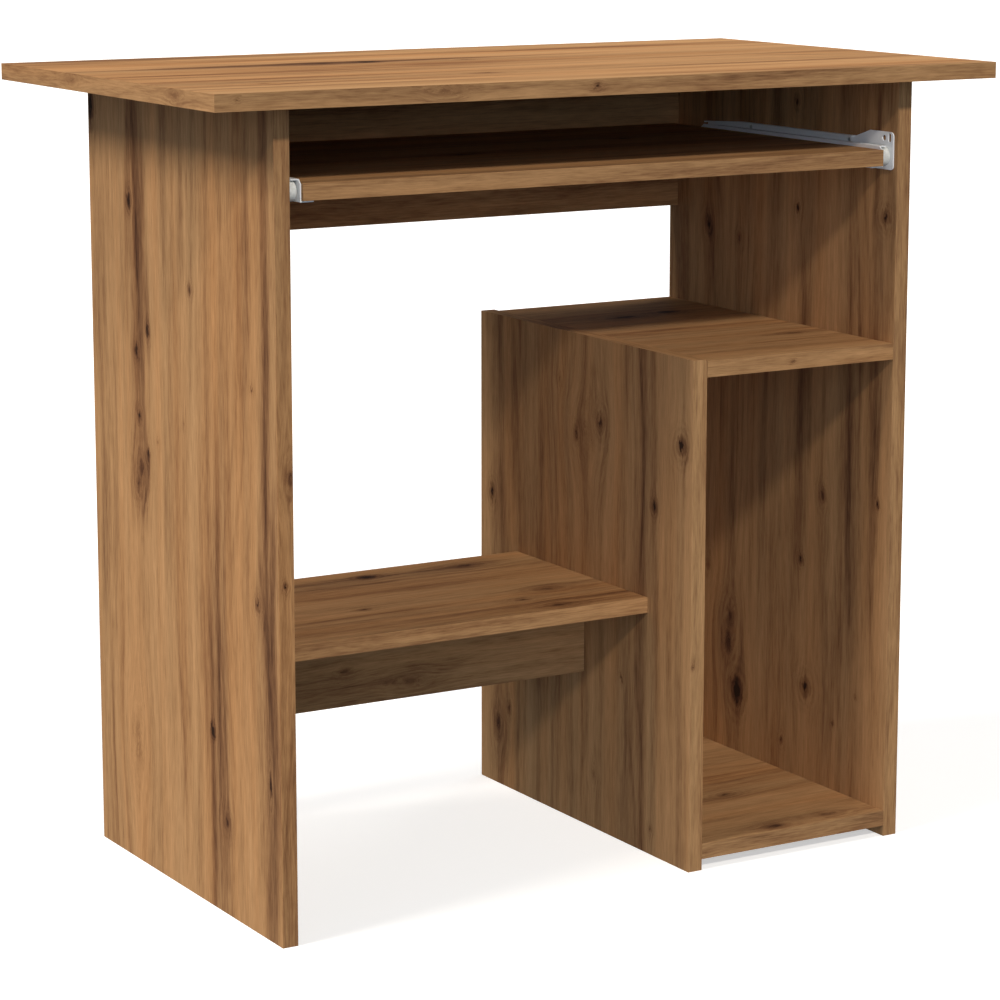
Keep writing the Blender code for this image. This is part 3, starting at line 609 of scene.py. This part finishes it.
def outer_axis(face, low, high):
    """The axis that a face of a board looks along, or None for a face inside a bore."""
    middle = face.calc_center_median()
    axis = max(range(3), key=lambda i: abs(face.normal[i]))
    depth = min(abs(middle[axis] - low[axis]), abs(middle[axis] - high[axis]))
    return axis if depth < BOARD_ARRIS else None


def build_board(node, spec, edge_materials, raw, body):
    """A board: decor on its broad faces, banding on its edges and raw chipboard in its bores."""
    low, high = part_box(node)
    thickness = AXES.index(spec["thickness"])
    middle = (low[thickness] + high[thickness]) / 2
    figure = {key: value for key, value in spec.items() if key not in ("grain", "thickness", "shown")}
    face = oak_face(f"oak_{node}", spec["grain"], spec["thickness"], middle, spec["shown"], **figure)
    shape = softened(node, BOARD_ARRIS)
    for side in shape.faces:
        side.material_index = board_material(outer_axis(side, low, high), thickness, low, high)
        side.smooth = False
    materials = [face, *(edge_materials[axis] for axis in AXES), raw]
    make_piece(f"{node}_board", shape, materials, body, "oak_laminate", node)


def board_material(axis, thickness, low, high):
    """Slot 0 is the face decor, 1 to 3 the banding along X, Y and Z, and 4 raw chipboard."""
    if axis is None:
        return 4
    if axis == thickness:
        return 0
    size = high - low
    run = max((i for i in range(3) if i != axis), key=lambda i: size[i])
    return 1 + run


def build_boards():
    edge_materials = {axis: oak_band(f"oak_banding_{axis.lower()}", axis, EDGE_SEEDS[axis],
                                     knots=EDGE_KNOTS[axis], tone=EDGE_TONE)
                      for axis in AXES}
    raw = chipboard()
    for node, spec in BOARDS.items():
        body = "tray" if node == "keyboard_tray" else "carcass"
        build_board(node, spec, edge_materials, raw, body)


# Slides and rollers

def build_runners(coat):
    for side in SIDES:
        for kind, body in (("cabinet", "carcass"), ("tray", "tray")):
            node = f"{kind}_runner_{side}"
            shape = softened(node, STEEL_ARRIS)
            make_piece(f"{kind}_slide_{side}", shape, [coat], body, "powder_coat", node)


def turned(rings, steps, closed):
    """A solid turned about X. Each ring gives (radius, x) at a step; a closed outline meets its start."""
    shape = bmesh.new()
    loops = []
    for ring in rings:
        points = [ring(step) for step in range(steps)]
        if points[0][0] == 0:
            loops.append([shape.verts.new((points[0][1], 0, 0))])
            continue
        turn = [math.tau * step / steps for step in range(steps)]
        loops.append([shape.verts.new((x, radius * math.cos(a), radius * math.sin(a)))
                      for (radius, x), a in zip(points, turn)])
    pairs = list(zip(loops, loops[1:]))
    if closed:
        pairs.append((loops[-1], loops[0]))
    for first, second in pairs:
        for step in range(steps):
            after = (step + 1) % steps
            corners = [first[step % len(first)], first[after % len(first)],
                       second[after % len(second)], second[step % len(second)]]
            shape.faces.new(list(dict.fromkeys(corners)))
    bmesh.ops.recalc_face_normals(shape, faces=shape.faces)
    return shape


def plain_ring(radius, x):
    return lambda step: (radius, x)


def ribbed_ring(radius, half, way):
    """A ring in the sunk web of a roller, which comes up to the face at each rib."""
    pitch = ROLLER_STEPS // ROLLER_RIBS
    return lambda step: (radius, way * (half if step % pitch == 0 else half - ROLLER_SUNK))


def fluted_ring(radius, x):
    return lambda step: (radius - (DOWEL_FLUTE if step % 2 else 0), x)


def roller_side(radius, half, way):
    """One side of a roller, from the bore over the hub, ribbed web and rim to the edge of the tread."""
    hub = ROLLER_BORE + ROLLER_HUB
    well = radius - ROLLER_RIM
    return [
        plain_ring(ROLLER_BORE, way * half),
        plain_ring(hub, way * half),
        ribbed_ring(hub + ROLLER_DRAFT, half, way),
        ribbed_ring(well - ROLLER_DRAFT, half, way),
        plain_ring(well, way * half),
        plain_ring(radius - ROLLER_CHAMFER, way * half),
        plain_ring(radius - ROLLER_CROWN, way * (half - ROLLER_CHAMFER)),
    ]


def roller_rings(radius, half):
    """Outline of a roller: its right side, the crown of its tread, and its left side back to the bore."""
    return roller_side(radius, half, 1) + [plain_ring(radius, 0)] + roller_side(radius, half, -1)[::-1]


def smooth_shape(shape):
    for face in shape.faces:
        face.smooth = True
    for edge in shape.edges:
        edge.smooth = edge.calc_face_angle(0.0) < SHARP


def build_rollers(material):
    for end in ("front", "rear"):
        for side in SIDES:
            node = f"{end}_roller_{side}"
            low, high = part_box(node)
            middle = (low + high) / 2
            half = (high.x - low.x) / 2
            radius = (high.z - low.z) / 2
            shape = turned(roller_rings(radius, half), ROLLER_STEPS, closed=True)
            bmesh.ops.translate(shape, verts=shape.verts, vec=middle)
            smooth_shape(shape)
            make_piece(f"{end}_wheel_{side}", shape, [material], node, "nylon", node)


def build_dowels(material):
    """Fluted dowels with chamfered ends, standing on Z."""
    for side in SIDES:
        node = f"dowel_{side}"
        low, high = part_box(node)
        half = (high.z - low.z) / 2
        radius = (high.x - low.x) / 2
        rings = [
            plain_ring(0, half),
            plain_ring(radius - DOWEL_CHAMFER, half),
            fluted_ring(radius, half - DOWEL_CHAMFER),
            fluted_ring(radius, -half + DOWEL_CHAMFER),
            plain_ring(radius - DOWEL_CHAMFER, -half),
            plain_ring(0, -half),
        ]
        shape = turned(rings, DOWEL_STEPS, closed=False)
        for vert in shape.verts:
            vert.co = Vector((vert.co.y, vert.co.z, vert.co.x)) + (low + high) / 2
        make_piece(f"fluted_dowel_{side}", shape, [material], "carcass", "beech", node)


# Fasteners, made by Geometry Nodes: a tree builds one fitting and stands it on every marked point

def fitting_tree(name, sizes, build):
    """A tree that copies the solid from build onto each point, turned to the point's facing."""
    tree = bpy.data.node_groups.new(name, "GeometryNodeTree")
    tree.interface.new_socket("Points", in_out="INPUT", socket_type="NodeSocketGeometry")
    for label in sizes:
        tree.interface.new_socket(label, in_out="INPUT", socket_type="NodeSocketFloat")
    tree.interface.new_socket("Finish", in_out="INPUT", socket_type="NodeSocketMaterial")
    tree.interface.new_socket("Fittings", in_out="OUTPUT", socket_type="NodeSocketGeometry")
    graph = Graph(tree)
    given = graph.node("NodeGroupInput").outputs
    solid = build(graph, given)
    facing = graph.node("GeometryNodeInputNamedAttribute", {"Name": "facing"}, data_type="FLOAT_VECTOR")
    turn = graph.node("FunctionNodeAlignRotationToVector", {"Vector": facing.outputs[0]}, axis="Z")
    inputs = {"Points": given["Points"], "Instance": solid, "Rotation": turn.outputs[0]}
    copies = graph.node("GeometryNodeInstanceOnPoints", inputs).outputs[0]
    real = graph.node("GeometryNodeRealizeInstances", {"Geometry": copies}).outputs[0]
    inputs = {"Geometry": real, "Material": given["Finish"]}
    finished = graph.node("GeometryNodeSetMaterial", inputs).outputs[0]
    graph.node("NodeGroupOutput", {"Fittings": finished})
    return tree


def moved(graph, geometry, x=0.0, z=0.0):
    offset = graph.node("ShaderNodeCombineXYZ", {"X": x, "Z": z}).outputs[0]
    return graph.node("GeometryNodeTransform", {"Geometry": geometry, "Translation": offset}).outputs[0]


def cylinder(graph, radius, depth, sides):
    """A cylinder on Z that hangs down from the origin."""
    made = graph.node("GeometryNodeMeshCylinder", {"Vertices": sides, "Radius": radius, "Depth": depth})
    return moved(graph, made.outputs["Mesh"], z=graph.scaled(depth, -0.5))


def cut_away(graph, solid, *cutters):
    inputs = {"Mesh 1": solid}
    made = graph.node("GeometryNodeMeshBoolean", inputs, operation="DIFFERENCE", solver="EXACT")
    for cutter in cutters:
        graph.tree.links.new(cutter, made.inputs["Mesh 2"])
    return made.outputs["Mesh"]


def joined(graph, *solids):
    made = graph.node("GeometryNodeMeshBoolean", operation="UNION", solver="EXACT")
    for solid in solids:
        graph.tree.links.new(solid, made.inputs["Mesh 2"])
    return made.outputs["Mesh"]


def cross_recess(graph, length, width, depth):
    """The two crossed bars that a driver's tip needs, half above the face."""
    tall = graph.scaled(depth, 2.0)
    bars = []
    for x, y in ((length, width), (width, length)):
        size = graph.node("ShaderNodeCombineXYZ", {"X": x, "Y": y, "Z": tall}).outputs[0]
        bars.append(graph.node("GeometryNodeMeshCube", {"Size": size}).outputs["Mesh"])
    return bars


def cam_solid(graph, given):
    """A cam with a cross recess and a three-sided arrow notch near its rim."""
    body = cylinder(graph, given["Radius"], given["Depth"], sides=40)
    size = graph.scaled(given["Radius"], CAM_NOTCH)
    inputs = {"Vertices": 3, "Radius": size, "Depth": given["Recess depth"]}
    notch = graph.node("GeometryNodeMeshCylinder", inputs).outputs["Mesh"]
    arrow = moved(graph, notch, x=graph.scaled(given["Radius"], CAM_NOTCH_OUT))
    bars = cross_recess(graph, given["Recess length"], given["Recess width"], given["Recess depth"])
    return cut_away(graph, body, arrow, *bars)


def tapered_head(graph, given):
    """A head that hangs down from the origin, from its crown at the top to its full radius."""
    inputs = {"Vertices": 32, "Radius Top": given["Crown radius"], "Radius Bottom": given["Head radius"],
              "Depth": given["Head height"]}
    cone = graph.node("GeometryNodeMeshCone", inputs).outputs["Mesh"]
    return moved(graph, cone, z=graph.scaled(given["Head height"], -1.0))


def screw_solid(graph, given):
    """A screw: a tapered head with a cross recess on a plain shank, which starts inside the head."""
    head = tapered_head(graph, given)
    shank = cylinder(graph, given["Shank radius"], given["Length"], sides=20)
    lowered = moved(graph, shank, z=graph.scaled(given["Head height"], -SCREW_SHANK_START))
    bars = cross_recess(graph, given["Recess length"], given["Recess width"], given["Recess depth"])
    return cut_away(graph, joined(graph, head, lowered), *bars)


def rivet_solid(graph, given):
    """A rivet: a tapered head with a punched dimple on a plain shank, which starts inside the head."""
    head = tapered_head(graph, given)
    shank = cylinder(graph, given["Shank radius"], given["Length"], sides=32)
    lowered = moved(graph, shank, z=graph.scaled(given["Head height"], -RIVET_SHANK_START))
    inputs = {"Segments": 20, "Rings": 10, "Radius": graph.scaled(given["Shank radius"], RIVET_DIMPLE)}
    dimple = graph.node("GeometryNodeMeshUVSphere", inputs).outputs["Mesh"]
    return cut_away(graph, joined(graph, head, lowered), dimple)


def outer_point(node, facing):
    """The middle of the face of a fitting that looks the given way."""
    low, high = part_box(node)
    half = (high - low) / 2
    return (low + high) / 2 + Vector(way * reach for way, reach in zip(facing, half))


def place_fittings(name, body, facings, tree, sizes, material):
    """Stands one kind of fitting on every CAD node given, as a single mesh on its body."""
    points = bpy.data.meshes.new(f"{name}_points")
    points.from_pydata([outer_point(node, facing) for node, facing in facings.items()], [], [])
    attribute = points.attributes.new("facing", "FLOAT_VECTOR", "POINT")
    attribute.data.foreach_set("vector", [value for facing in facings.values() for value in facing])
    carrier = bpy.data.objects.new(f"{name}_points", points)
    bpy.context.scene.collection.objects.link(carrier)
    modifier = carrier.modifiers.new("Fittings", "NODES")
    modifier.node_group = tree
    values = {**sizes, "Finish": material}
    for item in tree.interface.items_tree:
        if item.in_out == "INPUT" and item.name in values:
            modifier[item.identifier] = values[item.name]
    depsgraph = bpy.context.evaluated_depsgraph_get()
    mesh = bpy.data.meshes.new_from_object(carrier.evaluated_get(depsgraph))
    bpy.data.objects.remove(carrier)
    drop_attribute(mesh, "facing")
    mesh.shade_smooth()
    mesh.set_sharp_from_angle(angle=SHARP)
    mesh.name = name
    mesh.materials.clear()
    add_piece(name, mesh, [material], body, "zinc", *facings)


CAM_SIZES = {"Radius": 7.2 * MM, "Depth": 11.9 * MM, "Recess length": 7.4 * MM, "Recess width": 1.5 * MM,
             "Recess depth": 2.0 * MM}
FLUSH_SCREW = {"Head radius": 1.7 * MM, "Crown radius": 2.5 * MM, "Head height": 1.0 * MM,
               "Shank radius": 1.6 * MM, "Length": 11.0 * MM, "Recess length": 2.8 * MM,
               "Recess width": 0.7 * MM, "Recess depth": 0.7 * MM}
PAN_SCREW = {"Head radius": 3.5 * MM, "Crown radius": 2.5 * MM, "Head height": 2.1 * MM,
             "Shank radius": 1.6 * MM, "Length": 11.6 * MM, "Recess length": 3.6 * MM,
             "Recess width": 0.9 * MM, "Recess depth": 1.2 * MM}
RIVET = {"Head radius": 4.0 * MM, "Crown radius": 3.1 * MM, "Head height": 0.7 * MM,
         "Shank radius": 2.5 * MM, "Length": 10.7 * MM}

# The way that each cam's face looks
CAMS_BEHIND = ("back_rail_top", "back_rail", "low_rail")
CAMS_BELOW = ("low_shelf", "bay_top", "bay_floor")
CAM_FACINGS = {
    "cam_desktop_left": RIGHT,
    "cam_desktop_right": LEFT,
    **{f"cam_{joint}_{side}": BACK for joint in CAMS_BEHIND for side in SIDES},
    **{f"cam_{joint}_{side}": DOWN for joint in CAMS_BELOW for side in SIDES},
}


def build_fittings(plate):
    cams = fitting_tree("Cam fittings", CAM_SIZES, cam_solid)
    screws = fitting_tree("Cross-head screws", FLUSH_SCREW, screw_solid)
    rivets = fitting_tree("Axle rivets", RIVET, rivet_solid)
    inward = {"left": RIGHT, "right": LEFT}
    outward = {"left": LEFT, "right": RIGHT}
    runner_screws = {f"runner_screw_{side}_{n}": inward[side] for side in SIDES for n in (1, 2)}
    tray_screws = {f"tray_screw_{side}_{n}": DOWN for side in SIDES for n in (1, 2)}
    front_pins = {f"front_roller_pin_{side}": inward[side] for side in SIDES}
    rear_pins = {f"rear_roller_pin_{side}": outward[side] for side in SIDES}
    place_fittings("cams", "carcass", CAM_FACINGS, cams, CAM_SIZES, plate)
    place_fittings("runner_screws", "carcass", runner_screws, screws, FLUSH_SCREW, plate)
    place_fittings("tray_screws", "tray", tray_screws, screws, PAN_SCREW, plate)
    place_fittings("front_axle_rivets", "carcass", front_pins, rivets, RIVET, plate)
    place_fittings("rear_axle_rivets", "tray", rear_pins, rivets, RIVET, plate)


def finish_bolts(plate):
    """The cam bolts keep their CAD shape and get the plated finish."""
    for name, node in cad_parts.items():
        if name.startswith("cam_bolt_"):
            node.material_slots[0].material = plate


# Setting

def build_floor():
    """A wide floor that shows and catches shadows, but throws no light back."""
    shape = bmesh.new()
    bmesh.ops.create_grid(shape, x_segments=4, y_segments=4, size=FLOOR_SIZE / 2)
    mesh = bpy.data.meshes.new("floor")
    shape.to_mesh(mesh)
    shape.free()
    mesh.materials.append(pale_floor())
    floor = bpy.data.objects.new("floor", mesh)
    floor.visible_diffuse = False  # a white floor would wash out the desk's shaded sides
    floor.visible_glossy = False
    bpy.context.scene.collection.objects.link(floor)


def build_lights():
    """Distant lights; those named fill leave no highlight."""
    for name, toward, strength, tint, width in LIGHTS:
        data = bpy.data.lights.new(name, "SUN")
        data.energy = strength
        data.angle = math.radians(width)
        data.color = tint
        light = bpy.data.objects.new(name, data)
        light.rotation_euler = Vector(toward).to_track_quat("Z", "Y").to_euler()
        light.visible_glossy = not name.endswith("fill")
        bpy.context.scene.collection.objects.link(light)


def build_sky():
    """An even sky: a dim cool light, seen as a white backdrop."""
    world = bpy.data.worlds.new("studio")
    world.use_nodes = True
    graph = Graph(world.node_tree)
    seen = graph.node("ShaderNodeLightPath").outputs["Is Camera Ray"]
    lighting = graph.node("ShaderNodeBackground", {"Color": SKY_TINT, "Strength": SKY}).outputs[0]
    backdrop = graph.node("ShaderNodeBackground", {"Color": WHITE, "Strength": 1.0}).outputs[0]
    mixed = graph.node("ShaderNodeMixShader", {0: seen, 1: lighting, 2: backdrop}).outputs[0]
    graph.tree.links.new(mixed, world.node_tree.nodes["World Output"].inputs["Surface"])
    bpy.context.scene.world = world


def place_camera():
    data = bpy.data.cameras.new("camera")
    data.lens = CAMERA_LENS
    data.shift_y = CAMERA_SHIFT
    data.clip_end = 100.0
    camera = bpy.data.objects.new("camera", data)
    camera.location = CAMERA_PLACE
    camera.rotation_euler = (math.radians(90 - CAMERA_DIP), 0, math.radians(CAMERA_TURN))
    bpy.context.scene.collection.objects.link(camera)
    bpy.context.scene.camera = camera


build_boards()
build_runners(powder_coat())
build_rollers(nylon())
build_dowels(beech())
PLATE = zinc()
build_fittings(PLATE)
finish_bolts(PLATE)
build_floor()
build_lights()
build_sky()
place_camera()
bpy.context.scene.view_settings.view_transform = "Standard"
